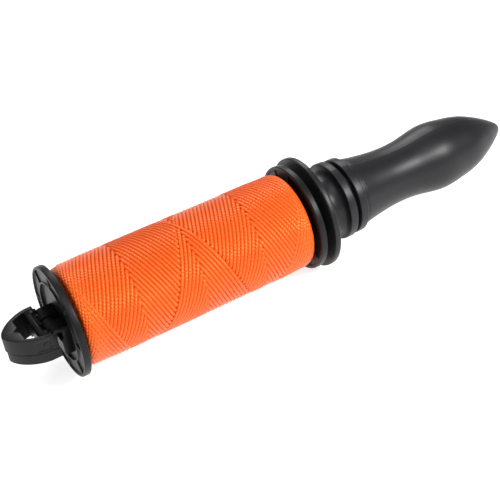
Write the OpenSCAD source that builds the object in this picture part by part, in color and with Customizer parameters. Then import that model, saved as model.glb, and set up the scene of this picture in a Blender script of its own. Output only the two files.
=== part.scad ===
// Hand reel for braided line: a handle, a free-turning spool with the line wound on it,
// and a D-shaped clip that folds on the spool's end flange.
// Every part is drawn along +X, with x = 0 at the end flange's outer face and the reel's
// axis on the X axis. placed() then stands the reel on its rims, centred on the origin.

/* [Spool] */
// Radius of the end flange, which carries the clip
end_flange_r = 22.5; // [22:0.1:23]
// Radius of the flange next to the handle
inner_flange_r = 22.2; // [21.8:0.1:22.8]
// Thickness of both spool flanges
flange_t = 2.8; // [2.6:0.1:3.2]
// Length of the spool over both flanges
spool_len = 107; // [100:1:114]
// Outer radius of the spool's core tube
core_r = 9.6; // [9.4:0.1:10]
// Bore radius of the core tube, which holds the bushes
core_bore_r = 7; // [6.6:0.1:7.4]

/* [Winding] */
// Outer radius of the plastic tube that the line is wound on
former_r = 11.2; // [10.8:0.1:12]
// Radius of the full winding
pack_r = 20.3; // [18:0.1:20.6]
// Gap between a flange and the winding's full radius, which its sloped end fills
pack_end_gap = 4.7; // [4:0.1:6]

/* [Guard and neck] */
// Radius of the guard, the widest disc of the reel
guard_r = 23.5; // [23.3:0.1:24.5]
// Thickness of the guard at its rim
guard_t = 2.5; // [2.2:0.1:3]
// Gap between the spool and the guard
guard_gap = 3; // [2.6:0.1:4]
// Length of the neck from the guard to the grip's seam
neck_len = 20.3; // [20:0.1:24]
// Radius of the neck at its waist
neck_r = 12.6; // [12:0.1:13]
// Radius of the ring nearer the guard
ring_r = 16.5; // [16:0.1:17]
// Radius of the ring nearer the grip
small_ring_r = 16.1; // [15.6:0.1:16.6]

/* [Grip] */
// Length of the grip from its seam to its tip
grip_len = 79.2; // [76:0.2:88]
// Radius of the grip at its seam
grip_seam_r = 14.6; // [14:0.1:15]
// Radius of the grip at its waist
grip_waist_r = 12.2; // [11.6:0.1:13]
// Radius of the grip at its swell
grip_swell_r = 14.5; // [13.6:0.1:15.5]

/* [Clip] */
// Distance from the end flange to the clip's tip
clip_reach = 21.8; // [21:0.1:24]
// Half the width of the clip
clip_half_w = 10.6; // [10.4:0.1:11]
// Height of the clip's top face above the axis
clip_top = 4.3; // [4:0.1:4.6]
// Depth of the clip's lower face below the axis
clip_bottom = 7.4; // [7:0.1:7.6]
// Distance from the end flange's face to the clip's hinge axis
pivot_out = 3.4; // [3.3:0.1:4]
// Radius of the clip's hinge pin
pin_r = 2; // [1.8:0.1:2.1]

/* [Spindle and fits] */
// Radius of the steel spindle
spindle_r = 4; // [3.5:0.1:4.2]
// Radial gap of a running fit
run_gap = 0.05; // [0.02:0.01:0.1]

/* [Hidden] */

black = "#2b2b2d";
worn_black = "#353538";
orange = "#f4661f";
steel = "#a9adb2";
natural = "#d9d4c6";
brass = "#c2a14d";

turn_fn = 96;
fine_fn = 48;
eps = 0.01;

// stations along the axis
core_end = spool_len;
guard_x = spool_len + guard_gap;
neck_x = guard_x + guard_t;
grip_x = neck_x + neck_len;
tip_x = grip_x + grip_len;
mid_x = (tip_x - clip_reach) / 2;

module placed() translate([-mid_x, 0, guard_r]) children();

// points of an arc about c, as [along, radius]
function arc(c, r, from, to, n = 8) =
    [for (i = [0 : n]) let (a = from + (to - from) * i / n) c + r * [cos(a), sin(a)]];

// a smooth curve through the stations p, n steps to a span
function smooth(p, n = 6) = let (last = len(p) - 1) [
    for (i = [0 : last - 1], j = [0 : n - 1])
        let (a = p[max(i - 1, 0)], b = p[i], c = p[i + 1], d = p[min(i + 2, last)], t = j / n)
            0.5 * (2 * b + (c - a) * t + (2 * a - 5 * b + 4 * c - d) * t * t
                + (3 * b - a - 3 * c + d) * t * t * t),
    p[last]];

// a solid of revolution about the reel's axis, from points given as [along, radius]
module turned(points, fn = turn_fn)
    rotate([0, 90, 0]) rotate_extrude($fn = fn) polygon([for (p = points) [p[1], p[0]]]);

// a plain cylinder on the axis, from x0 to x1
module rod(x0, x1, r, fn = turn_fn)
    translate([x0, 0, 0]) rotate([0, 90, 0]) cylinder(h = x1 - x0, r = r, $fn = fn);

// a cylinder along Y, from y0 to y1
module cross_rod(x, z, y0, y1, r)
    translate([x, y0, z]) rotate([-90, 0, 0]) cylinder(h = y1 - y0, r = r, $fn = fine_fn);

/* ---- handle ---- */

play = 0.3;
washer_t = 1.2;
insert_len = 14;
insert_r = 6.2;
spindle_tail = 30;
grip_recess = 1;

// The grip swells from its waist and closes in a blunt point.
module grip() {
    stations = [[0, grip_seam_r], [8, 13.2], [18, grip_waist_r], [28, 12.5],
        [grip_len * 0.525, grip_swell_r], [grip_len * 0.66, 13.4], [grip_len * 0.76, 11.7],
        [grip_len * 0.85, 8.7], [grip_len * 0.925, 5.4], [grip_len * 0.98, 2.3], [grip_len, 0]];
    placed() color(black) translate([grip_x, 0, 0]) difference() {
        turned(concat([[0, 0]], smooth(stations, 8)));
        rod(-1, insert_len + eps, insert_r);
        rod(0, spindle_tail, spindle_r);
    }
}

// A threaded insert in the grip's mouth holds the spindle.
module grip_insert()
    placed() color(brass) difference() {
        rod(grip_x, grip_x + insert_len, insert_r);
        rod(grip_x - 1, grip_x + insert_len + 1, spindle_r);
    }

ring_w = 3.5;
ring_gap = 1.9;
ring_edge = 0.5;
seat_r = grip_seam_r + 0.25;
hub_r = 17.5;
hub_h = 1;
ring_notch_w = 2.4;

// points of a ring's outline, with rounded edges, from x0 to x1; a crown is the mould's draft,
// which leaves the rim highest at its middle
function ring_points(x0, x1, foot_r, r, edge = ring_edge, crown = 0) = concat(
    [[x0, foot_r]],
    arc([x0 + edge, r - crown - edge], edge, 180, 90, 4),
    crown > 0 ? [[(x0 + x1) / 2, r]] : [],
    arc([x1 - edge, r - crown - edge], edge, 90, 0, 4),
    [[x1, foot_r]]);

rim_crown = 0.06;
rest_flat = 0.2;

// The guard is a disc with a raised hub; the neck behind it carries two rings.
module guard_neck() {
    ring_x = grip_x - 10.5;
    small_ring_x = ring_x + ring_w + ring_gap;
    waist = smooth([[neck_x + hub_h, hub_r - 1.4], [neck_x + hub_h + 1.4, hub_r - 3.4],
        [neck_x + 4.6, neck_r], [neck_x + 6.6, neck_r + 0.2], [ring_x, neck_r + 1.6]], 5);
    placed() color(black) difference() {
        turned(concat([[core_end + play + washer_t, 0], [core_end + play + washer_t, 11], [guard_x, 11.6]],
            arc([guard_x + 0.8, guard_r - rim_crown - 0.8], 0.8, 180, 90, 5),
            [[(guard_x + neck_x) / 2, guard_r]],
            arc([neck_x - 0.8, guard_r - rim_crown - 0.8], 0.8, 90, 0, 5),
            [[neck_x, hub_r], [neck_x + hub_h, hub_r - 0.5]],
            waist,
            ring_points(ring_x, ring_x + ring_w, neck_r + 1.6, ring_r),
            [[ring_x + ring_w, neck_r + 0.9], [small_ring_x, neck_r + 0.9]],
            ring_points(small_ring_x, small_ring_x + ring_w, neck_r + 0.9, small_ring_r),
            [[small_ring_x + ring_w, seat_r], [grip_x, seat_r], [grip_x, 0]]));
        rod(guard_x - 2, grip_x + 1, spindle_r);
        // a small flat under the guard's rim, added so that the reel lies still
        translate([guard_x - 1, -10, -guard_r - 1]) cube([neck_x - guard_x + 2, 20, 1 + rest_flat]);
        // the small notch under the first ring
        translate([ring_x + ring_w / 2, 0, -ring_r])
            cube([ring_w + 2 * eps, ring_notch_w, 2.4], center = true);
    }
}

screw_x = 10;
spindle_front = screw_x + 3.4 + washer_t;
screw_shank_r = 2;

// The spindle runs from the spool's front bush into the grip.
module spindle()
    placed() color(steel) difference() {
        rod(spindle_front, grip_x + spindle_tail, spindle_r);
        rod(spindle_front - 1, spindle_front + 12, screw_shank_r, fine_fn);
    }

module rear_washer()
    placed() color(natural) difference() {
        rod(core_end + play, core_end + play + washer_t, 10);
        rod(core_end, core_end + 3, spindle_r);
    }

module front_washer()
    placed() color(steel) difference() {
        rod(spindle_front - washer_t, spindle_front, 6.2);
        rod(spindle_front - 3, spindle_front + 1, screw_shank_r, fine_fn);
    }

module retaining_screw()
    placed() color(steel) difference() {
        union() {
            turned(concat([[screw_x, 0]], arc([screw_x + 1.4, 2.4], 1.4, 180, 90, 5),
                [[spindle_front - washer_t, 3.8], [spindle_front - washer_t, 0]]), fine_fn);
            rod(spindle_front - washer_t - eps, spindle_front + 11, screw_shank_r, fine_fn);
        }
        // the cross recess
        for (a = [0, 90]) rotate([a, 0, 0])
            translate([screw_x + 0.6, 0, 0]) cube([2.4, 4, 0.9], center = true);
    }

/* ---- spool ---- */

plug_end = 7;
slot_count = 12;

// The core tube and the inner flange are one moulding. The flange's face to the winding
// has a thin border and radial grooves.
module spool_core() {
    face = core_end - flange_t;
    groove_d = 0.4;
    placed() color(black) difference() {
        union() {
            rod(flange_t, core_end - 1, core_r);
            turned(ring_points(face, core_end, 0, inner_flange_r, 0.7));
        }
        rod(0, core_end + 1, core_bore_r);
        difference() {
            rod(face - 1, face + groove_d, inner_flange_r - 1.4);
            rod(face - 2, face + 1, former_r + 1.2);
            for (i = [0 : slot_count - 1]) rotate([i * 360 / slot_count, 0, 0])
                translate([face, 0, inner_flange_r / 2]) cube([4, 0.9, inner_flange_r], center = true);
        }
    }
}

// a bush in the core tube, from x0 to x1
module bush(x0, x1) difference() {
    rod(x0, x1, core_bore_r);
    rod(x0 - 1, x1 + 1, spindle_r + run_gap);
}

module rear_bush() placed() color(natural) bush(core_end - 10, core_end);
module front_bush() placed() color(natural) bush(spindle_front + play, spindle_front + 10);

border_w = 1.2;
annulus_d = 0.6;
rib_r = 16;
rib_w = 0.8;
recess_r = rib_r - rib_w / 2;
recess_d = 1.2;
rib_count = 8;
lug_in = 1.9;
lug_out = 8.3;
lug_r = 3.7;
lug_lip = 132;
lug_heel = -72;

lug_foot = 2.3;
lug_drop = 9.4;

// One snap lug: a post on the flange whose hooked head closes over the hinge axis, from
// the lip's angle round to the heel's.
module lug(y0, y1) difference() {
    union() {
        cross_rod(-pivot_out, 0, y0, y1, lug_r);
        translate([-pivot_out, y0, -lug_r]) cube([pivot_out + recess_d + 0.4, y1 - y0, 2 * lug_r]);
        translate([-lug_foot, y0, -lug_drop]) cube([lug_foot + recess_d + 0.4, y1 - y0, lug_drop]);
    }
    cross_rod(-pivot_out, 0, y0 - 1, y1 + 1, pin_r + run_gap);
    translate([-pivot_out, y1 + 1, 0]) rotate([90, 0, 0]) linear_extrude(y1 - y0 + 2)
        polygon([[0, 0], for (a = [lug_lip : 12 : 360 + lug_heel]) (lug_r + 0.5) * [cos(a), sin(a)]]);
}

// The end flange: a border, a sunken band with ribs, and a round recess with the lugs.
module end_flange()
    placed() color(black) {
        difference() {
            union() {
                turned(ring_points(0, flange_t, 0, end_flange_r, 0.6, rim_crown));
                rod(flange_t - eps, plug_end, core_bore_r);
            }
            difference() {
                rod(-1, annulus_d, end_flange_r - border_w);
                rod(-2, annulus_d + 1, rib_r + rib_w / 2);
                for (i = [0 : rib_count - 1]) rotate([i * 360 / rib_count, 0, 0])
                    translate([0, 0, end_flange_r / 2]) cube([4, rib_w, end_flange_r], center = true);
            }
            rod(-1, recess_d, recess_r);
            rod(flange_t + 1, plug_end + 1, core_bore_r - 1.6);
        }
        for (y = [[lug_in, lug_out], [-lug_out, -lug_in]]) lug(y[0], y[1]);
    }

former_gap = 0.4;

module line_former()
    placed() color(natural) difference() {
        rod(flange_t + former_gap, core_end - flange_t - former_gap, former_r);
        rod(0, core_end, core_r);
    }

// The winding, full in the middle, with a sloped, rounded end at each flange.
module line_pack() {
    left = flange_t;
    right = core_end - flange_t;
    // one end's outline as [distance from the flange, radius]
    slope = smooth([[0.9, former_r], [1.2, former_r + 3], [2.5, pack_r - 3],
        [pack_end_gap - 1.2, pack_r - 0.9], [pack_end_gap, pack_r - 0.2], [pack_end_gap + 2, pack_r]], 4);
    last = len(slope) - 1;
    placed() color(orange) turned(concat(
        [for (p = slope) [left + p[0], p[1]]],
        [for (i = [0 : last]) [right - slope[last - i][0], slope[last - i][1]]]));
}

/* ---- clip ---- */

slit = 0.3;
outline_power = 1.6;
arch_x = 8;
leg_in = 8.65;
step_z = -2.4;
step_in = 0.5;
prong_x = 15;
prong_y = 1.7;
notch_x = 16.7;
sweep_r = lug_r + 0.35;
rivet_x = -8.5;
rivet_z = 0.4;
rivet_r = 0.9;
pocket_d = 0.6;

// one side of the clip's arch: a superellipse from the leg round to the tip
function arch(half_w, reach, n = 18) = [for (i = [0 : n]) let (a = 90 * (1 - i / n))
    [-arch_x - (reach - arch_x) * pow(cos(a), 2 / outline_power), half_w * pow(sin(a), 2 / outline_power)]];

// Plan of one jaw, on the side of +Y: the leg, the arch, half the tip and its prong.
module jaw_plan(inset) {
    inner = [for (p = arch(leg_in, clip_reach - 1.6)) if (p[0] > -prong_x) p];
    difference() {
        polygon(concat([[-3.8, leg_in], [-3.8, clip_half_w - inset]],
            arch(clip_half_w - inset, clip_reach - 2 * inset),
            [[-notch_x, 0], [-prong_x, prong_y], [-prong_x, inner[len(inner) - 1][1] - 0.3]],
            [for (i = [len(inner) - 1 : -1 : 0]) inner[i]]));
        translate([-clip_reach - 1, -1]) square([clip_reach, 1 + slit / 2]);
    }
}

// One jaw of the clip, on the side of +Y. Its rear edge slopes, and it clears the lugs.
module jaw() difference() {
    union() {
        translate([0, 0, step_z]) linear_extrude(clip_top - step_z) jaw_plan(0);
        translate([0, 0, -clip_bottom]) linear_extrude(clip_bottom + step_z + eps) jaw_plan(step_in);
    }
    translate([0, clip_half_w + 1, 0]) rotate([90, 0, 0]) linear_extrude(4)
        polygon([[-6.4, clip_top + eps], [-3.6, -4], [0, -4], [0, clip_top + eps]]);
    // the shallow pocket in the leg's outer face
    translate([-12, clip_half_w - pocket_d, step_z + 0.9]) cube([5, 2, 4.6]);
    cross_rod(rivet_x, rivet_z, leg_in - 1, clip_half_w + 1, rivet_r);
}

module clip_jaw_left() placed() color(black) jaw();
module clip_jaw_right() placed() color(black) mirror([0, 1, 0]) jaw();

bar_x = 9.5;
bar_t = 2.2;
arm_in = 6.2;
arm_out = leg_in - 0.15;
arm_end = 5;
arm_bottom = 6.4;
knuckle_r = 3.1;
knuckle_half = lug_in - 0.3;
pin_half = 5.6;

// The bridge ties the jaws together and carries the hinge: a bar, two arms and a knuckle.
module clip_bridge()
    placed() color(worn_black) difference() {
        union() {
            translate([-bar_x, -arm_in - eps, -4]) cube([bar_t, 2 * (arm_in + eps), 4 + clip_top]);
            for (s = [1, -1]) translate([0, 0, -arm_bottom]) linear_extrude(arm_bottom + clip_top)
                polygon([[-bar_x, s * arm_in], [-bar_x + 1, s * arm_out],
                    [-arm_end, s * arm_out], [-arm_end, s * arm_in]]);
            difference() {
                translate([-bar_x + bar_t - eps, -knuckle_half, -3])
                    cube([bar_x - bar_t - pivot_out, 2 * knuckle_half, 3.6]);
                cross_rod(-pivot_out, 0, -3, 3, pin_r);
            }
        }
        difference() {
            cross_rod(-pivot_out, 0, -arm_out - 1, arm_out + 1, sweep_r);
            translate([-8, -knuckle_half, -5]) cube([8, 2 * knuckle_half, 10]);
        }
        for (s = [1, -1]) cross_rod(rivet_x, rivet_z, s * 7.5 - 2, s * 7.5 + 2, rivet_r);
    }

// two staked pins, one through each leg into the bridge's arm
module clip_rivets()
    placed() color(worn_black) for (s = [0, 1]) mirror([0, s, 0]) {
        cross_rod(rivet_x, rivet_z, 5.6, clip_half_w - pocket_d, rivet_r);
        cross_rod(rivet_x, rivet_z, clip_half_w - pocket_d, clip_half_w - pocket_d + 0.4, rivet_r + 0.5);
    }

module hinge_pin()
    placed() color(worn_black) cross_rod(-pivot_out, 0, -pin_half, pin_half, pin_r);

grip();
grip_insert();
guard_neck();
spindle();
rear_washer();
front_washer();
retaining_screw();
spool_core();
rear_bush();
front_bush();
end_flange();
line_former();
line_pack();
clip_jaw_left();
clip_jaw_right();
clip_bridge();
clip_rivets();
hinge_pin();
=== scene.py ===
"""Looks for the hand line reel.

Shapes are worked out in reel coordinates, in millimetres: along the reel's axis from the end flange's
outer face, across it, and up from it. in_frame() takes them to the frame's metres.
"""

import bpy
import numpy as np
from mathutils import Matrix, Vector


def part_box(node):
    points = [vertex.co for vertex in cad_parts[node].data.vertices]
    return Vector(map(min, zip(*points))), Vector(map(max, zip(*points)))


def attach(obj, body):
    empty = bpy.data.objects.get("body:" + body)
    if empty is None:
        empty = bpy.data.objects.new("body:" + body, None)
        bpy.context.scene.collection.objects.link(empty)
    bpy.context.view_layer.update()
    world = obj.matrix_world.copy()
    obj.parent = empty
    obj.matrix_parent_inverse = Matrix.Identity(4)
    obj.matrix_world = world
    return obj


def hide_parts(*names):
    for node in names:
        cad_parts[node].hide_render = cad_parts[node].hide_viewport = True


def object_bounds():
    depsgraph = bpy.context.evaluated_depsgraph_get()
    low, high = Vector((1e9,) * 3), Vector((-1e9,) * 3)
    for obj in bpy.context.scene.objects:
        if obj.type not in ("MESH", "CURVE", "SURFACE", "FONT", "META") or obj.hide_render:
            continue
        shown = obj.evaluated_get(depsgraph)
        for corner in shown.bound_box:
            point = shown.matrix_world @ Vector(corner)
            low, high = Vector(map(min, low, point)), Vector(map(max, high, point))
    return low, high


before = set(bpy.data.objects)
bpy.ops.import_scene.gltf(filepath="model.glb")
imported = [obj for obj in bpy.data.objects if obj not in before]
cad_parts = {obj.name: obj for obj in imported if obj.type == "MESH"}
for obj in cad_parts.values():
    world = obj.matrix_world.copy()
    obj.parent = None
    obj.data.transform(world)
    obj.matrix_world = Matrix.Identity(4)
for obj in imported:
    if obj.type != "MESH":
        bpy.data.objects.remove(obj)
cad_box = [list(corner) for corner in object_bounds()]

# ---------------------------------------------------------------- the frame's sizes

MM = 0.001


def box_mm(node):
    """A CAD node's lowest and highest corners, in millimetres."""
    return [np.array(corner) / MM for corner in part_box(node)]


FLANGE_T = 2.8
GUARD_BOX = box_mm("guard_neck")
CORE_BOX = box_mm("spool_core")
ORIGIN = np.array([CORE_BOX[0][0] - FLANGE_T, 0.0, GUARD_BOX[1][2] - GUARD_BOX[1][1]])


def in_frame(points):
    """Reel coordinates in millimetres to the frame's metres."""
    return (np.asarray(points, float) + ORIGIN) * MM


SPOOL_END = CORE_BOX[1][0] - ORIGIN[0]
SEAM_AT = GUARD_BOX[1][0] - ORIGIN[0]
GUARD_R = GUARD_BOX[1][1]
INNER_R = CORE_BOX[1][1]
END_R = box_mm("end_flange")[1][1]
PIVOT = box_mm("hinge_pin")
PIVOT_AT = (PIVOT[0][0] + PIVOT[1][0]) / 2 - ORIGIN[0]
PIN_R = (PIVOT[1][0] - PIVOT[0][0]) / 2
CLIP_BOX = box_mm("clip_jaw_left")
CLIP_REACH = ORIGIN[0] - CLIP_BOX[0][0]
CLIP_HALF = CLIP_BOX[1][1]
CLIP_TOP = CLIP_BOX[1][2] - ORIGIN[2]
CLIP_BOTTOM = CLIP_BOX[0][2] - ORIGIN[2]

# ---------------------------------------------------------------- meshes from arrays


def smoothstep(low, high, value):
    """0 below low, 1 above high, and a smooth cubic rise between them."""
    t = np.clip((value - low) / (high - low), 0, 1)
    return t * t * (3 - 2 * t)


def grid_faces(rows, cols, closed_rows=False, closed_cols=True):
    """Quads between neighbouring rows and columns of a grid that is numbered row by row."""
    r = np.arange(rows if closed_rows else rows - 1)[:, None]
    c = np.arange(cols if closed_cols else cols - 1)[None, :]
    r_next, c_next = (r + 1) % rows, (c + 1) % cols
    corners = [r * cols + c, r * cols + c_next, r_next * cols + c_next, r_next * cols + c]
    return np.stack(np.broadcast_arrays(*corners), -1).reshape(-1, 4)


def signed_volume(points, faces):
    """The volume inside closed faces; it is negative where they point inwards."""
    total = 0.0
    for group in faces:
        first = points[group[:, 0]]
        for k in range(1, group.shape[1] - 1):
            total += np.einsum("ij,ij->", first, np.cross(points[group[:, k]], points[group[:, k + 1]]))
    return total / 6


def make_piece(name, parts, body, material, replaced=(), uv=None):
    """One object from closed parts, each (points, face groups), every one turned to point outwards."""
    all_points, corners, sizes, count = [], [], [], 0
    for points, faces in parts:
        points = np.asarray(points, float)
        flip = signed_volume(points, faces) < 0
        for group in faces:
            group = group[:, ::-1] if flip else group
            corners.append((group + count).ravel())
            sizes.append(np.full(len(group), group.shape[1]))
        all_points.append(points)
        count += len(points)
    points, corners, sizes = map(np.concatenate, (all_points, corners, sizes))
    mesh = bpy.data.meshes.new(name)
    mesh.vertices.add(len(points))
    mesh.vertices.foreach_set("co", in_frame(points).astype(np.float32).ravel())
    mesh.loops.add(len(corners))
    mesh.loops.foreach_set("vertex_index", corners.astype(np.int32))
    mesh.polygons.add(len(sizes))
    mesh.polygons.foreach_set("loop_start", np.concatenate([[0], np.cumsum(sizes)[:-1]]).astype(np.int32))
    mesh.update(calc_edges=True)
    if uv is not None:
        layer = mesh.uv_layers.new(name="UVMap")
        layer.data.foreach_set("uv", np.asarray(uv, np.float32)[corners].ravel())
    mesh.validate()
    mesh.shade_smooth()
    obj = bpy.data.objects.new(name, mesh)
    bpy.context.scene.collection.objects.link(obj)
    mesh.materials.append(material)
    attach(obj, body)
    if replaced:
        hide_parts(*replaced)
    return obj


def rounded(corners, steps=5):
    """A path of rows (along, radius, rounding): each corner becomes a parabola that starts and ends
    that far away."""
    path = []
    rows = np.asarray(corners, float)
    for i, (x, y, r) in enumerate(rows):
        here = np.array([x, y])
        if r <= 0 or i in (0, len(rows) - 1):
            path.append(here)
            continue
        back, ahead = rows[i - 1, :2] - here, rows[i + 1, :2] - here
        start = here + back / np.hypot(*back) * r
        end = here + ahead / np.hypot(*ahead) * r
        for t in np.linspace(0, 1, steps + 1):
            path.append((1 - t) ** 2 * start + 2 * t * (1 - t) * here + t * t * end)
    return np.array(path)


def turned(profile, turns=160, shift=None):
    """A closed solid of revolution: rows of (along, radius) at equal angles about the reel's axis.
    A row on the axis is one point with a fan. shift(along, radius, angle) moves the surface."""
    profile = np.asarray(profile, float)
    angle = np.linspace(0, 2 * np.pi, turns, endpoint=False)[None, :]
    open_first, open_last = profile[0, 1] > 1e-6, profile[-1, 1] > 1e-6
    ring = profile[(0 if open_first else 1):(len(profile) if open_last else -1)]
    along = np.broadcast_to(ring[:, :1], (len(ring), turns))
    radius = np.broadcast_to(ring[:, 1:2], (len(ring), turns))
    if shift is not None:
        along, radius = shift(along, radius, np.broadcast_to(angle, along.shape))
    points = np.stack([along, radius * np.cos(angle), radius * np.sin(angle)], -1).reshape(-1, 3)
    closed = open_first and open_last
    faces = [grid_faces(len(ring), turns, closed_rows=closed)]
    around = np.arange(turns)
    for is_open, row, pole in ((open_first, 0, profile[0]), (open_last, len(ring) - 1, profile[-1])):
        if closed or is_open:
            continue
        pole_index = len(points)
        points = np.concatenate([points, [[pole[0], 0, 0]]])
        ends = row * turns + np.stack([around, (around + 1) % turns], -1)
        if row == 0:
            ends = ends[:, ::-1]
        faces.append(np.concatenate([ends, np.full((turns, 1), pole_index)], 1))
    return points, faces


def slab(outline, low, high, edge, axis, steps=3):
    """A prism with rounded edges: rings of the outline from low to high along axis (0, 1 or 2). Near each
    end the outline shrinks along its corners' bisectors by a quarter circle of radius edge."""
    outline = np.asarray(outline, float)
    before, after = outline - np.roll(outline, 1, 0), np.roll(outline, -1, 0) - outline
    before /= np.hypot(*before.T)[:, None]
    after /= np.hypot(*after.T)[:, None]
    normal = np.stack([before[:, 1] + after[:, 1], -before[:, 0] - after[:, 0]], -1)
    normal /= np.maximum(np.hypot(*normal.T)[:, None], 1e-9)
    cosine = np.clip(normal[:, 0] * after[:, 1] - normal[:, 1] * after[:, 0], 0.35, 1)
    x, y = outline.T
    if np.sum(x * np.roll(y, -1) - y * np.roll(x, -1)) < 0:
        normal = -normal
    bend = np.linspace(0, np.pi / 2, steps + 1)
    inset = edge * (1 - np.sin(bend))
    depth = edge * (1 - np.cos(bend))
    levels = np.concatenate([low + depth, (high - depth)[::-1]])
    insets = np.concatenate([inset, inset[::-1]])
    flat = outline[None] - insets[:, None, None] * (normal / cosine[:, None])[None]
    level = np.broadcast_to(levels[:, None, None], (*flat.shape[:2], 1))
    points = np.insert(flat, axis, level[..., 0], axis=2).reshape(-1, 3)
    n = len(outline)
    faces = [grid_faces(len(levels), n), np.arange(n)[None, ::-1], (len(levels) - 1) * n + np.arange(n)[None]]
    return points, faces


def arc(centre, radius, start, end, n=12):
    """n + 1 points of a circle's arc between two angles in degrees."""
    a = np.radians(np.linspace(start, end, n + 1))
    return np.stack([centre[0] + radius * np.cos(a), centre[1] + radius * np.sin(a)], -1)


def cross_turned(profile, at, up, turns=40):
    """A solid turned about an axis across the reel, from rows of (across, radius)."""
    points, faces = turned(profile, turns)
    return np.stack([at + points[:, 1], points[:, 0], up + points[:, 2]], -1), faces


# ---------------------------------------------------------------- materials


def new_material(name):
    """An empty node material with a Principled shader, and its tree, shader and Object coordinates."""
    material = bpy.data.materials.new(name)
    material.use_nodes = True
    tree = material.node_tree
    shader = tree.nodes["Principled BSDF"]
    coords = tree.nodes.new("ShaderNodeTexCoord")
    return material, tree, shader, coords


def noise(tree, vector, scale, detail=3.0, roughness=0.55):
    """A noise texture of that scale, in features per metre."""
    node = tree.nodes.new("ShaderNodeTexNoise")
    node.inputs["Scale"].default_value = scale
    node.inputs["Detail"].default_value = detail
    node.inputs["Roughness"].default_value = roughness
    tree.links.new(vector, node.inputs["Vector"])
    return node.outputs["Fac"]


def spread(tree, value, low, high):
    """A 0-to-1 value carried to the range from low to high."""
    node = tree.nodes.new("ShaderNodeMapRange")
    node.inputs["To Min"].default_value = low
    node.inputs["To Max"].default_value = high
    tree.links.new(value, node.inputs["Value"])
    return node.outputs["Result"]


def math_node(tree, operation, *values):
    """A Math node whose inputs are numbers or sockets."""
    node = tree.nodes.new("ShaderNodeMath")
    node.operation = operation
    for socket, value in zip(node.inputs, values):
        if isinstance(value, (int, float)):
            socket.default_value = value
        else:
            tree.links.new(value, socket)
    return node.outputs[0]


def colour_mix(tree, factor, dark, light):
    """A blend of two colours."""
    node = tree.nodes.new("ShaderNodeMix")
    node.data_type = "RGBA"
    node.inputs["A"].default_value = (*dark, 1)
    node.inputs["B"].default_value = (*light, 1)
    tree.links.new(factor, node.inputs["Factor"])
    return node.outputs["Result"]


def add_bump(tree, shader, height, strength, distance):
    """A bump of that depth in metres on the shader's normal."""
    node = tree.nodes.new("ShaderNodeBump")
    node.inputs["Strength"].default_value = strength
    node.inputs["Distance"].default_value = distance
    tree.links.new(height, node.inputs["Height"])
    tree.links.new(node.outputs["Normal"], shader.inputs["Normal"])


def moulded_black(name, dark, light, smooth, rough, level, grain=900.0, depth=0.00003):
    """Satin moulded plastic: fine grain, a patchy sheen and slightly paler scuffs."""
    material, tree, shader, coords = new_material(name)
    place = coords.outputs["Object"]
    patches = noise(tree, place, 60.0, 4.0)
    tree.links.new(colour_mix(tree, patches, dark, light), shader.inputs["Base Color"])
    tree.links.new(spread(tree, noise(tree, place, 180.0, 3.0), smooth, rough), shader.inputs["Roughness"])
    add_bump(tree, shader, noise(tree, place, grain, 2.0), 0.5, depth)
    shader.inputs["IOR"].default_value = 1.4
    shader.inputs["Specular IOR Level"].default_value = level
    return material


handle_black = moulded_black("handle_black", (0.008, 0.008, 0.009), (0.014, 0.014, 0.016), 0.34, 0.46, 0.42)
spool_black = moulded_black("spool_black", (0.005, 0.005, 0.006), (0.010, 0.010, 0.011), 0.32, 0.46, 0.3)
clip_black = moulded_black("clip_black", (0.006, 0.006, 0.007), (0.012, 0.012, 0.013), 0.32, 0.46, 0.34)


def braided_orange():
    """Braided nylon: chevrons of yarn run along the strand's top, and fine fibres lie over them. The UVs
    give u in braid pitches along the strand and v once around it, with 0.25 on top."""
    material, tree, shader, coords = new_material("braided_orange")
    split = tree.nodes.new("ShaderNodeSeparateXYZ")
    tree.links.new(coords.outputs["UV"], split.inputs[0])
    u, v = split.outputs[0], split.outputs[1]
    off_top = math_node(tree, "ABSOLUTE", math_node(tree, "SUBTRACT", v, 0.25))
    phase = math_node(tree, "ADD", u, math_node(tree, "MULTIPLY", off_top, 3.0))
    yarn = math_node(tree, "SINE", math_node(tree, "MULTIPLY", phase, 2 * np.pi))
    fibres = noise(tree, coords.outputs["Object"], 2600.0, 2.0)
    height = math_node(tree, "ADD", yarn, math_node(tree, "MULTIPLY", fibres, 0.6))
    add_bump(tree, shader, height, 0.7, 0.00008)
    # the base colour is lighter on the yarn's raised chevrons and darker in the hollows between them, which
    # is a painted highlight and painted shade on the braid; the noise adds random tone
    tone_and_painted_yarn_shade = math_node(tree, "ADD", math_node(tree, "MULTIPLY", yarn, 0.25),
                     noise(tree, coords.outputs["Object"], 45.0, 3.0))
    tree.links.new(colour_mix(tree, tone_and_painted_yarn_shade, (0.82, 0.094, 0.010), (0.90, 0.128, 0.018)),
                   shader.inputs["Base Color"])
    shader.inputs["Roughness"].default_value = 0.34
    shader.inputs["IOR"].default_value = 1.6
    shader.inputs["Specular IOR Level"].default_value = 1.0
    shader.inputs["Specular Tint"].default_value = (1.0, 0.4, 0.12, 1)
    return material


line_orange = braided_orange()


def plain_material(name, dark, light, metallic, smooth, rough, scale=400.0):
    """A turned or moulded inner part: two close tones and a patchy roughness."""
    material, tree, shader, coords = new_material(name)
    place = coords.outputs["Object"]
    tree.links.new(colour_mix(tree, noise(tree, place, scale), dark, light), shader.inputs["Base Color"])
    tree.links.new(spread(tree, noise(tree, place, scale * 2), smooth, rough), shader.inputs["Roughness"])
    add_bump(tree, shader, noise(tree, place, scale * 3), 0.3, 0.00002)
    shader.inputs["Metallic"].default_value = metallic
    return material


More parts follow.
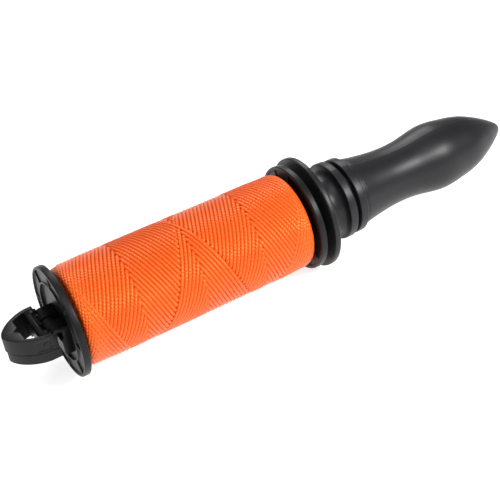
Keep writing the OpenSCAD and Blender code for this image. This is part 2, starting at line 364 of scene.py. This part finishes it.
zinc_steel = plain_material("zinc_steel", (0.42, 0.43, 0.45), (0.6, 0.61, 0.63), 1.0, 0.25, 0.4)
turned_brass = plain_material("turned_brass", (0.5, 0.34, 0.12), (0.72, 0.52, 0.22), 1.0, 0.25, 0.4)
pale_acetal = plain_material("pale_acetal", (0.62, 0.59, 0.5), (0.74, 0.71, 0.63), 0.0, 0.35, 0.5)

INNER_NODES = {
    "spindle": zinc_steel, "front_washer": zinc_steel, "retaining_screw": zinc_steel,
    "grip_insert": turned_brass, "rear_washer": pale_acetal, "rear_bush": pale_acetal,
    "front_bush": pale_acetal, "line_former": pale_acetal,
}
for node_name, node_material in INNER_NODES.items():
    node_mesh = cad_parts[node_name].data
    node_mesh.materials.clear()
    node_mesh.materials.append(node_material)

# ---------------------------------------------------------------- grip


def cad_outline(node):
    """A turned CAD node's outer radius at each of its rings, as rows of (along, radius)."""
    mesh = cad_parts[node].data
    points = np.empty(len(mesh.vertices) * 3, np.float32)
    mesh.vertices.foreach_get("co", points)
    points = points.reshape(-1, 3) / MM - ORIGIN
    along = np.round(points[:, 0], 3)
    radius = np.hypot(points[:, 1], points[:, 2])
    stations = np.unique(along)
    return np.array([(a, radius[along == a].max()) for a in stations])


PARTING_H = 0.05
PARTING_W = 0.35


def parting_line(along, radius, angle):
    """Two thin raised seams where the mould closed, on opposite sides of a turned piece."""
    off = np.abs(radius * np.sin(angle - np.radians(100)))
    return along, radius + PARTING_H * np.exp(-((off / PARTING_W) ** 2)) * smoothstep(1, 6, radius)


def grip():
    """The grip: the CAD outline drawn finer, with a rounded lip at the seam and the mould's seams."""
    outline = cad_outline("grip")
    outline = outline[outline[:, 1] > 8.0 - 8.0 * (outline[:, 0] > SEAM_AT + 40)]
    along = np.concatenate([SEAM_AT + np.linspace(0.4, 6, 12),
                            np.linspace(SEAM_AT + 6.8, outline[-1, 0], 110)])
    radius = np.interp(along, outline[:, 0], outline[:, 1])
    lip = rounded([(SEAM_AT, 0, 0), (SEAM_AT, radius[0], 0.35), (SEAM_AT + 0.6, radius[0], 0)], 4)
    profile = np.concatenate([lip[:-1], np.stack([along, radius], -1)[1:]])
    profile[-1, 1] = 0
    make_piece("grip_shell", [turned(profile, 240, parting_line)], "handle",
               handle_black, ["grip"])


# ---------------------------------------------------------------- guard and neck

RING_W = 3.5
RING_GAP = 1.9
RING_R = 16.5
SMALL_RING_R = 16.1
NECK_R = 12.6
BORE_R = 4.0
NOTCH_HALF = 1.2
REST_FLAT = 0.2


def guard_and_neck():
    """The guard disc, its raised hub, the hollow neck, two rings and the seat of the grip, turned in one."""
    face, back = SPOOL_END + 3.0, SPOOL_END + 5.5
    ring = SEAM_AT - 10.5
    small = ring + RING_W + RING_GAP
    waist = [(back + 1.0, 17.0, 0.4), (back + 1.9, 15.2, 1.2), (back + 4.0, NECK_R, 1.6),
             (ring - 2.5, NECK_R + 0.2, 1.5), (ring, NECK_R + 1.6, 0)]
    corners = [
        (face - 1.5, BORE_R, 0), (face - 1.5, 11.0, 0.3), (face, 11.6, 0.4), (face, GUARD_R, 0.7),
        (back, GUARD_R, 0.7), (back, 17.6, 0.3), *waist,
        (ring, RING_R, 0.55), (ring + RING_W, RING_R, 0.55), (ring + RING_W, NECK_R + 0.9, 0.3),
        (small, NECK_R + 0.9, 0.3), (small, SMALL_RING_R, 0.5), (small + RING_W, SMALL_RING_R, 0.5),
        (small + RING_W, 14.85, 0.2), (SEAM_AT, 14.85, 0.3), (SEAM_AT, BORE_R, 0)]

    def notch(along, radius, angle):
        """The small notch under the first ring, the parting lines, and the flat under the guard's rim."""
        off = np.abs(radius * np.cos(angle))
        under = (np.sin(angle) < 0) & (along > ring - 0.01) & (along < ring + RING_W + 0.01)
        depth = 1.2 * (1 - smoothstep(NOTCH_HALF - 0.3, NOTCH_HALF + 0.1, off)) * under
        depth = depth * smoothstep(NECK_R + 1.2, NECK_R + 2.4, radius)
        along, radius = parting_line(along, radius - depth, angle)
        return along, np.minimum(radius, (GUARD_R - REST_FLAT) / np.maximum(-np.sin(angle), 0.1))

    make_piece("guard_and_neck", [turned(rounded(corners), 288, notch)], "handle",
               handle_black, ["guard_neck"])


# ---------------------------------------------------------------- spool flanges

BORDER_W = 1.2
BAND_DEPTH = 0.6
RIB_RING_R = 16.0
RIB_W = 0.8
RECESS_DEPTH = 1.2
RIB_COUNT = 8


def rib_mask(radius, angle, count, width, soft=0.12):
    """1 on radial ribs of that width and 0 between them."""
    step = 2 * np.pi / count
    nearest = (angle + step / 2) % step - step / 2
    off = np.abs(radius * np.sin(nearest))
    return 1 - smoothstep(width / 2 - soft, width / 2 + soft, off)


def end_flange():
    """The end flange: a disc whose outer face carries a border, a sunken band with ribs, a thin ring and
    a round recess. The face is a height field on a polar grid."""
    soft = 0.12
    marks = np.array([RIB_RING_R - RIB_W / 2, RIB_RING_R + RIB_W / 2, END_R - BORDER_W])
    fine = np.concatenate([m + np.linspace(-soft, soft, 5) for m in marks])
    face_r = np.unique(np.concatenate([np.linspace(0, END_R - 0.6, 40), fine]))
    rim = rounded([(0, END_R - 0.7, 0), (0, END_R, 0.55), (FLANGE_T, END_R, 0.55), (FLANGE_T, 7.0, 0),
                   (FLANGE_T + 4.2, 7.0, 0), (FLANGE_T + 4.2, 0, 0)], 5)
    profile = np.concatenate([np.stack([np.zeros_like(face_r), face_r], -1), rim[1:]])

    def face_relief(along, radius, angle):
        """Sinks the recess and the band between the ribs into the outer face by smooth steps."""
        on_face = along < 1e-6
        recess = 1 - smoothstep(marks[0] - soft, marks[0] + soft, radius)
        band = smoothstep(marks[1] - soft, marks[1] + soft, radius)
        band = band * (1 - smoothstep(marks[2] - soft, marks[2] + soft, radius))
        band = band * (1 - rib_mask(radius, angle, RIB_COUNT, RIB_W))
        return along + on_face * (RECESS_DEPTH * recess + BAND_DEPTH * band), radius

    return turned(profile, 720, face_relief)


LUG_IN = 1.9
LUG_OUT = 8.3
LUG_R = 3.7
LUG_FOOT = 2.3
LUG_DROP = 9.4
PIN_GAP = 0.15


def lug_outline(lip_angle):
    """A post that rises from its foot on the flange and hooks over the hinge axis as far as lip_angle."""
    inner, outer = PIN_R + PIN_GAP, LUG_R
    centre = np.array([PIVOT_AT, 0.0])
    lip, heel = np.radians([lip_angle, -72])
    middle, half = (inner + outer) / 2, (outer - inner) / 2
    end = centre + middle * np.array([np.cos(lip), np.sin(lip)])
    heel_at = centre + inner * np.array([np.cos(heel), np.sin(heel)])
    back = RECESS_DEPTH + 0.3
    return np.concatenate([
        arc(centre, outer, 90, lip_angle, 8)[:-1],
        arc(end, half, lip_angle, lip_angle + 180, 8)[:-1],
        arc(centre, inner, lip_angle, -72, 26)[:-1],
        [heel_at, (-LUG_FOOT, -3.5)],
        arc((-LUG_FOOT + 0.8, -LUG_DROP + 0.8), 0.8, 180, 270, 6),
        [[back, -LUG_DROP], [back, outer]]])


def end_flange_piece():
    """The end flange with its two snap lugs. The outer part of each lug's nose is set back."""
    lugs = []
    for low, high, lip in ((LUG_IN, 5.7, 132), (5.3, LUG_OUT, 116)):
        for side in (1, -1):
            ends = sorted((side * low, side * high))
            lugs.append(slab(lug_outline(lip), *ends, 0.35, 1))
    make_piece("end_flange_disc", [end_flange(), *lugs], "spool", spool_black,
               ["end_flange"])


def inner_flange():
    """The spool's core tube and the flange next to the guard, whose face to the winding has thin grooves."""
    face = SPOOL_END - FLANGE_T
    soft = 0.12
    marks = (12.6, INNER_R - 1.4)
    fine = np.concatenate([m + np.linspace(-soft, soft, 5) for m in marks])
    face_r = np.unique(np.concatenate([np.linspace(9.7, INNER_R - 0.75, 24), fine]))
    face_rows = np.stack([np.full_like(face_r, face), face_r], -1)
    rim = rounded([(face, INNER_R - 0.8, 0), (face, INNER_R, 0.6), (SPOOL_END, INNER_R, 0.6),
                   (SPOOL_END, 7.0, 0), (FLANGE_T, 7.0, 0), (FLANGE_T, 9.6, 0), (face - 0.01, 9.6, 0)], 5)
    profile = np.concatenate([face_rows, rim[1:]])

    def grooves(along, radius, angle):
        """Sinks the band between the spokes into the face by smooth steps."""
        on_face = np.abs(along - face) < 1e-6
        band = smoothstep(marks[0] - soft, marks[0] + soft, radius)
        band = band * (1 - smoothstep(marks[1] - soft, marks[1] + soft, radius))
        return along + on_face * 0.4 * band * (1 - rib_mask(radius, angle, 12, 0.9)), radius

    make_piece("spool_core_and_flange", [turned(profile, 480, grooves)], "spool",
               spool_black, ["spool_core"])


# ---------------------------------------------------------------- winding

LINE_W = 1.56            # a strand's width, pressed against its neighbours
LINE_H = 1.15            # a strand's height
LINE_RISE = 0.9          # how far a strand climbs where it crosses over another
CYCLES = 32              # there-and-back passes that cover the spool once
REACH_LOW, REACH_HIGH = 1.4, 105.5    # where straight passes would meet beyond the ends
CYCLE_STEP = 2 * np.pi / CYCLES
CYCLE_TURN = 8 * np.pi - CYCLE_STEP
ADVANCE = 2 * (REACH_HIGH - REACH_LOW) / CYCLE_TURN
NEWEST_PHASE = np.radians(98.0)
TOP_RADIUS = 19.75       # centre of the topmost strands
BED_R = 18.1             # a solid bed of line fills the gaps under the top layer
BRAID_PITCH = 1.3


def pass_distance(turn, half, blunt):
    """Distance in radians of winding from the virtual end, |turn| rounded to a hyperbola at 0 and exact
    again at half a pass."""
    extra = np.sqrt(half ** 2 + blunt ** 2) - half
    return np.sqrt(turn ** 2 + blunt ** 2) - extra * np.abs(turn) / half


def over_share(other, low, high):
    """1 where the strand lies over the other family's strands numbered low to high, 0 where it lies under,
    rising and falling over one strand; other is periodic over the cycles."""
    share = 0
    for lap in (-CYCLES, 0, CYCLES):
        place = other + lap
        share = share + smoothstep(low - 1, low, place) * (1 - smoothstep(high, high + 1, place))
    return np.clip(share, 0, 1)


def wound_path(first, last, step, layer):
    """Centre line of the cycles from first to last. Each cycle runs from the high end to the low end and
    back while the spool turns CYCLE_TURN, so that the next one lies a strand further round."""
    turn = np.arange(first * CYCLE_TURN, last * CYCLE_TURN + step / 2, step)
    cycle = np.clip(np.floor(turn / CYCLE_TURN), first, last - 1)
    local = turn - cycle * CYCLE_TURN
    half = CYCLE_TURN / 4
    start_angle = NEWEST_PHASE - CYCLE_STEP / 2 - REACH_HIGH / ADVANCE
    turned_at = (cycle + 0.5) * CYCLE_TURN + start_angle
    low_blunt = np.maximum(0.41 + 0.10 * np.cos(turned_at - np.radians(85)) - 0.03 * layer, 0.29)
    blunt = np.where(np.abs(local - CYCLE_TURN / 2) < half, low_blunt, 0.42 - 0.04 * layer)
    to_low = local - CYCLE_TURN / 2
    to_high = np.minimum(local, CYCLE_TURN - local)
    near_low = np.abs(to_low) < half
    reach = np.where(near_low, pass_distance(to_low, half, blunt), pass_distance(to_high, half, blunt))
    along = np.where(near_low, REACH_LOW + ADVANCE * reach, REACH_HIGH - ADVANCE * reach)
    angle = turn + start_angle
    going_down = to_low < 0
    # the other family's running number at this point, from the helix that crosses here
    newest_back = NEWEST_PHASE - 2 * REACH_LOW / ADVANCE
    back_number = ((newest_back - (angle - along / ADVANCE)) / CYCLE_STEP - 0.5) % CYCLES
    down_number = ((NEWEST_PHASE - (angle + along / ADVANCE)) / CYCLE_STEP - 0.5) % CYCLES
    over = np.where(going_down, over_share(back_number, 0.0, cycle - 1),
                    over_share(down_number, 0.0, cycle))
    over = np.where(going_down & (cycle == 0), 0.0, over)
    # near a turn the newer strand lies over the older ones
    near_end = 1 - smoothstep(0.9, 1.9, np.where(near_low, np.abs(to_low), np.abs(to_high)))
    over = over * (1 - near_end) + near_end * (0.25 + 0.6 * cycle / CYCLES)
    edge = ADVANCE * (reach - pass_distance(0.0, half, blunt))
    drop = 1.0 * (1 - np.sqrt(1 - (1 - np.clip(edge / 3.0, 0, 1)) ** 2))
    radius = TOP_RADIUS - LINE_RISE - 2 * LINE_RISE * layer + LINE_RISE * over - drop
    return along, angle, radius


def strand_tube(along, angle, radius, sides, lump):
    """A flattened tube along the path. Its section is an ellipse that leans with the path, and its width
    swells and narrows with the braid."""
    points = np.stack([along, radius * np.cos(angle), radius * np.sin(angle)], -1)
    outward = np.stack([np.zeros_like(angle), np.cos(angle), np.sin(angle)], -1)
    ahead = np.gradient(points, axis=0)
    ahead /= np.linalg.norm(ahead, axis=1)[:, None]
    side = np.cross(ahead, outward)
    side /= np.linalg.norm(side, axis=1)[:, None]
    normal = np.cross(side, ahead)
    length = np.concatenate([[0], np.cumsum(np.linalg.norm(np.diff(points, axis=0), axis=1))])
    around = np.linspace(0, 2 * np.pi, sides, endpoint=False)
    swell = 1 + lump * np.cos(2 * np.pi * length[:, None] / BRAID_PITCH + 2 * around[None, :])
    wide = LINE_W / 2 * np.cos(around)[None, :] * swell
    high = LINE_H / 2 * np.sin(around)[None, :] * swell
    tube = points[:, None] + wide[..., None] * side[:, None] + high[..., None] * normal[:, None]
    count = len(points)
    uv = np.stack(np.broadcast_arrays(length[:, None] / BRAID_PITCH, (around / (2 * np.pi))[None, :]), -1)
    faces = [grid_faces(count, sides), np.arange(sides)[None, ::-1],
             (count - 1) * sides + np.arange(sides)[None]]
    return tube.reshape(-1, 3), faces, uv.reshape(-1, 2), length[-1]


def winding():
    """The line on the spool: the top layer's cycles in two pieces, and the layers below in another."""
    total = 0.0
    middle = CYCLES // 2
    for name, first, last in (("line_top_older", 0, middle), ("line_top_newer", middle, CYCLES)):
        tube, faces, uv, length = strand_tube(*wound_path(first, last, 0.038, 0), 8, 0.02)
        make_piece(name, [(tube, faces)], "spool", line_orange, ["line_pack"], uv)
        total += length
    parts, uvs = [], []
    for layer in (1, 2, 3, 4):
        tube, faces, uv, length = strand_tube(*wound_path(0, CYCLES, 0.21, layer), 4, 0.0)
        parts.append((tube, faces))
        uvs.append(uv)
        total += length
    bed = rounded([(5.2, 9.9, 0), (5.2, 16.8, 1.0), (6.8, BED_R, 0.8), (100.4, BED_R, 0.8),
                   (101.6, 16.8, 1.0), (101.6, 9.9, 0)])
    bed_points, bed_faces = turned(bed, 120)
    parts.append((bed_points, bed_faces))
    uvs.append(np.zeros((len(bed_points), 2)))
    make_piece("line_under_layers", parts, "spool", line_orange, ["line_pack"],
               np.concatenate(uvs))
    return total


# ---------------------------------------------------------------- clip

OUTLINE_POWER = 2 / 1.6
ARCH_AT = 8.0
LEG_IN = 8.65
STEP_UP = -2.4
STEP_IN = 0.5
SLIT = 0.3
PRONG_AT = 15.0
PRONG_HALF = 1.7
NOTCH_AT = 16.7
POCKET = 0.25
PIN_AT = -8.5
PIN_UP = 0.4


def arch_curve(half_width, reach, share):
    """The clip's side outline, a superellipse of power 1.6; share runs from 0 at the leg to 1 at the tip."""
    a = np.pi / 2 * (1 - share)
    return np.stack([-ARCH_AT - (reach - ARCH_AT) * np.cos(a) ** OUTLINE_POWER,
                     half_width * np.sin(a) ** OUTLINE_POWER], -1)


def resampled(path, count):
    """count points at equal distances along a path."""
    steps = np.concatenate([[0], np.cumsum(np.hypot(*np.diff(path, axis=0).T))])
    at = np.linspace(0, steps[-1], count)
    return np.stack([np.interp(at, steps, path[:, k]) for k in (0, 1)], -1)


def jaw(side):
    """One jaw: a section with rounded edges carried from the leg's rear round the arch to the slit.
    Its inner and outer edges are the clip's two outlines, and the prong is a bulge of the inner one."""
    count = 220
    rear = -4.4
    outer = np.concatenate([[[rear, CLIP_HALF]], arch_curve(CLIP_HALF, CLIP_REACH, np.linspace(0, 1, 60))])
    outer[-1, 1] = SLIT / 2
    inner_arch = arch_curve(LEG_IN, CLIP_REACH - 1.6, np.linspace(0, 1, 80))
    inner_arch = inner_arch[inner_arch[:, 0] > -PRONG_AT]
    inner = np.concatenate([[[rear, LEG_IN]], inner_arch])
    knee = inner[-1]
    prong = rounded([(*knee, 0), (-PRONG_AT, knee[1] - 0.2, 0.15), (-PRONG_AT, PRONG_HALF, 0.25),
                     (-NOTCH_AT, SLIT / 2, 0)], 4)
    inner_line = np.concatenate([resampled(inner, 120), resampled(prong, count - 119)[1:]])
    # the outer edge is paced so that its points lie across from the inner ones
    knee_out = np.argmin(np.hypot(*(outer - [knee[0] - 2.4, knee[1] + 1.2]).T))
    outer_line = np.concatenate([resampled(outer[:knee_out + 1], 120),
                                 resampled(outer[knee_out:], count - 119)[1:]])
    outer_line[-1, 1] = inner_line[-1, 1] = SLIT / 2
    across = outer_line - inner_line
    width = np.hypot(*across.T)[:, None]
    across /= width
    # rounded section as (share across, inset from the edge, height)
    edge = 0.25
    bend = np.linspace(0, np.pi / 2, 5)
    lower_edge = 0.2
    top, bottom = CLIP_TOP, CLIP_BOTTOM
    from_outer, from_inner, height = [], [], []

    def rows(is_outer, insets, heights):
        """Adds rows of the section, measured in from the outer or the inner edge."""
        for inset, h in zip(insets, heights):
            from_outer.append(inset if is_outer else np.nan)
            from_inner.append(np.nan if is_outer else inset)
            height.append(h)

    rows(False, edge * (1 - np.sin(bend)), bottom + edge * (1 - np.cos(bend)))
    rows(False, np.zeros(24), np.linspace(bottom + edge, top - edge, 26)[1:-1])
    rows(False, edge * (1 - np.sin(bend))[::-1], (top - edge * (1 - np.cos(bend)))[::-1])
    inner_rows = len(height)
    rows(True, edge * (1 - np.sin(bend)), top - edge * (1 - np.cos(bend)))
    rows(True, np.zeros(24), np.linspace(top - edge, STEP_UP + lower_edge, 26)[1:-1])
    rows(True, lower_edge * (1 - np.cos(bend)), STEP_UP + lower_edge * (1 - np.sin(bend)))
    below = np.linspace(STEP_UP - 0.05, bottom + edge, 24)
    rows(True, STEP_IN + 0.45 * (1 - smoothstep(0.3, 0.55, STEP_UP - below)), below)
    rows(True, STEP_IN + edge * (1 - np.sin(bend))[::-1], (bottom + edge * (1 - np.cos(bend)))[::-1])
    height = np.array(height)
    inset_outer = np.array(from_outer)
    inset_inner = np.array(from_inner)
    is_outer = ~np.isnan(inset_outer)
    offset = np.where(is_outer[None, :], width - np.nan_to_num(inset_outer)[None, :],
                      np.nan_to_num(inset_inner)[None, :])
    plan = inner_line[:, None] + offset[..., None] * across[:, None]
    up = np.broadcast_to(height[None, :], offset.shape)
    # the pocket in the leg's outer face
    near = smoothstep(-12.6, -12.2, plan[..., 0]) * (1 - smoothstep(-7.2, -6.8, plan[..., 0]))
    near = near * smoothstep(STEP_UP + 0.7, STEP_UP + 1.0, up) * (1 - smoothstep(2.9, 3.2, up))
    plan = plan - POCKET * near[..., None] * (is_outer[None, :, None] * across[:, None])
    # the rear edge slopes: high points stop further from the flange
    slope = np.interp(up, [-4.0, CLIP_TOP], [0.0, 2.0])
    pull = smoothstep(-8.0, rear, plan[..., 0])
    along = plan[..., 0] - slope * pull + 0.6 * pull
    points = np.stack([along, side * plan[..., 1], up], -1)
    rows_n, cols = points.shape[:2]
    faces = [grid_faces(rows_n, cols), np.arange(cols)[None, ::-1],
             (rows_n - 1) * cols + np.arange(cols)[None]]
    return points.reshape(-1, 3), faces


def clip():
    """The two jaws, the bridge between them, the hinge pin and the two staked pins."""
    for name, side, node in (("clip_jaw_far", 1, "clip_jaw_left"), ("clip_jaw_near", -1, "clip_jaw_right")):
        make_piece(name, [jaw(side)], "clip", clip_black, [node])
    bar = slab([(-9.5, CLIP_TOP), (-7.3, CLIP_TOP), (-7.3, -4.0), (-9.5, -4.0)], -6.3, 6.3, 0.18, 1)
    sweep = 4.05
    gap = arc((PIVOT_AT, 0), sweep, 116, 244, 24)
    high_at = PIVOT_AT + sweep * np.cos(np.radians(116))
    arm_outline = np.concatenate([[(-9.5, -6.4), (-9.5, CLIP_TOP), (high_at, CLIP_TOP)], gap,
                                  [(gap[-1][0], -6.4)]])
    arms = [slab(arm_outline, low, high, 0.2, 1) for low, high in ((6.2, 8.35), (-8.35, -6.2))]
    tongue = slab([(-7.6, -3.0), (-3.4, -3.0), (-3.4, 0.6), (-7.6, 0.6)], -1.6, 1.6, 0.2, 1)
    knuckle = cross_turned(rounded([(-1.6, 0, 0), (-1.6, 3.1, 0.2), (1.6, 3.1, 0.2), (1.6, 0, 0)], 3),
                           PIVOT_AT, 0)
    make_piece("clip_bridge_bar", [bar, *arms, tongue, knuckle], "clip", clip_black,
               ["clip_bridge"])
    pin = cross_turned(rounded([(-5.6, 0, 0), (-5.6, PIN_R, 0.35), (5.6, PIN_R, 0.35), (5.6, 0, 0)], 4),
                       PIVOT_AT, 0)
    make_piece("clip_hinge_pin", [pin], "clip", clip_black, ["hinge_pin"])
    pins = []
    floor = CLIP_HALF - POCKET
    for side in (1, -1):
        head = rounded([(5.6, 0, 0), (5.6, 0.9, 0), (floor - 0.2, 0.9, 0), (floor - 0.2, 1.4, 0),
                        (floor + 0.1, 1.4, 0.1), (floor + 0.1, 0, 0)], 3)
        points, faces = cross_turned(head, PIN_AT, PIN_UP, 28)
        points[:, 1] *= side
        pins.append((points, faces))
    make_piece("clip_staked_pins", pins, "clip", clip_black, ["clip_rivets"])


# ---------------------------------------------------------------- studio


def studio():
    """A pale floor, a bright even world and soft area lights."""
    scene = bpy.context.scene
    scene.view_settings.view_transform = "Standard"
    centre = (Vector(cad_box[0]) + Vector(cad_box[1])) / 2
    floor_mesh = bpy.data.meshes.new("floor")
    reach = 6.0
    corners = [(-reach, -reach, 0), (reach, -reach, 0), (reach, reach, 0), (-reach, reach, 0)]
    floor_mesh.from_pydata(corners, [], [(0, 1, 2, 3)])
    floor = bpy.data.objects.new("floor", floor_mesh)
    scene.collection.objects.link(floor)
    material, tree, shader, coords = new_material("floor_white")
    shader.inputs["Base Color"].default_value = (0.6, 0.6, 0.6, 1)
    shader.inputs["Roughness"].default_value = 0.9
    shader.inputs["Emission Color"].default_value = (1, 1, 1, 1)
    shader.inputs["Emission Strength"].default_value = 0.8
    floor_mesh.materials.append(material)
    world = bpy.data.worlds.new("studio")
    world.use_nodes = True
    world.node_tree.nodes["Background"].inputs["Color"].default_value = (1, 1, 1, 1)
    world.node_tree.nodes["Background"].inputs["Strength"].default_value = 0.25
    scene.world = world

    def area_light(name, azimuth, elevation, distance, size, power):
        """A round soft light that faces the reel's middle from that direction."""
        data = bpy.data.lights.new(name, "AREA")
        data.shape = "DISK"
        data.size = size
        data.energy = power
        light = bpy.data.objects.new(name, data)
        a, e = np.radians(azimuth), np.radians(elevation)
        direction = Vector((np.cos(e) * np.cos(a), np.cos(e) * np.sin(a), np.sin(e)))
        light.location = centre + direction * distance
        light.rotation_euler = direction.to_track_quat("Z", "Y").to_euler()
        scene.collection.objects.link(light)

    area_light("key", -58, 38, 0.8, 0.2, 6)
    area_light("overhead", -116, 70, 1.0, 0.6, 2.5)
    area_light("behind", 64, 40, 1.0, 0.5, 4)


CAMERA_AIM = (82.0, -3.0, -3.7)    # the point looked at, in reel coordinates
CAMERA_AZIMUTH = 63.7              # the way the camera looks, from +X towards +Y
CAMERA_DOWN = 36.1
CAMERA_ROLL = 8.0
CAMERA_DISTANCE = 0.4665
CAMERA_LENS = 84.2


def camera():
    """The camera looks down at the reel from beside the clip, with a slight roll."""
    data = bpy.data.cameras.new("camera")
    data.lens = CAMERA_LENS
    data.clip_start = 0.01
    view = bpy.data.objects.new("camera", data)
    a, d, r = np.radians([CAMERA_AZIMUTH, CAMERA_DOWN, CAMERA_ROLL])
    forward = Vector((np.cos(d) * np.cos(a), np.cos(d) * np.sin(a), -np.sin(d)))
    level = Vector((np.sin(a), -np.cos(a), 0))
    up = level.cross(forward)
    right = level * np.cos(r) - up * np.sin(r)
    up = right.cross(forward)
    turn = Matrix((right, up, -forward)).transposed()
    centre = Vector(in_frame(CAMERA_AIM))
    view.matrix_world = Matrix.Translation(centre - forward * CAMERA_DISTANCE) @ turn.to_4x4()
    bpy.context.scene.collection.objects.link(view)
    bpy.context.scene.camera = view


camera()
grip()
guard_and_neck()
end_flange_piece()
inner_flange()
line_length = winding()
clip()
studio()
print("line on the spool, m:", round(line_length * MM, 2))
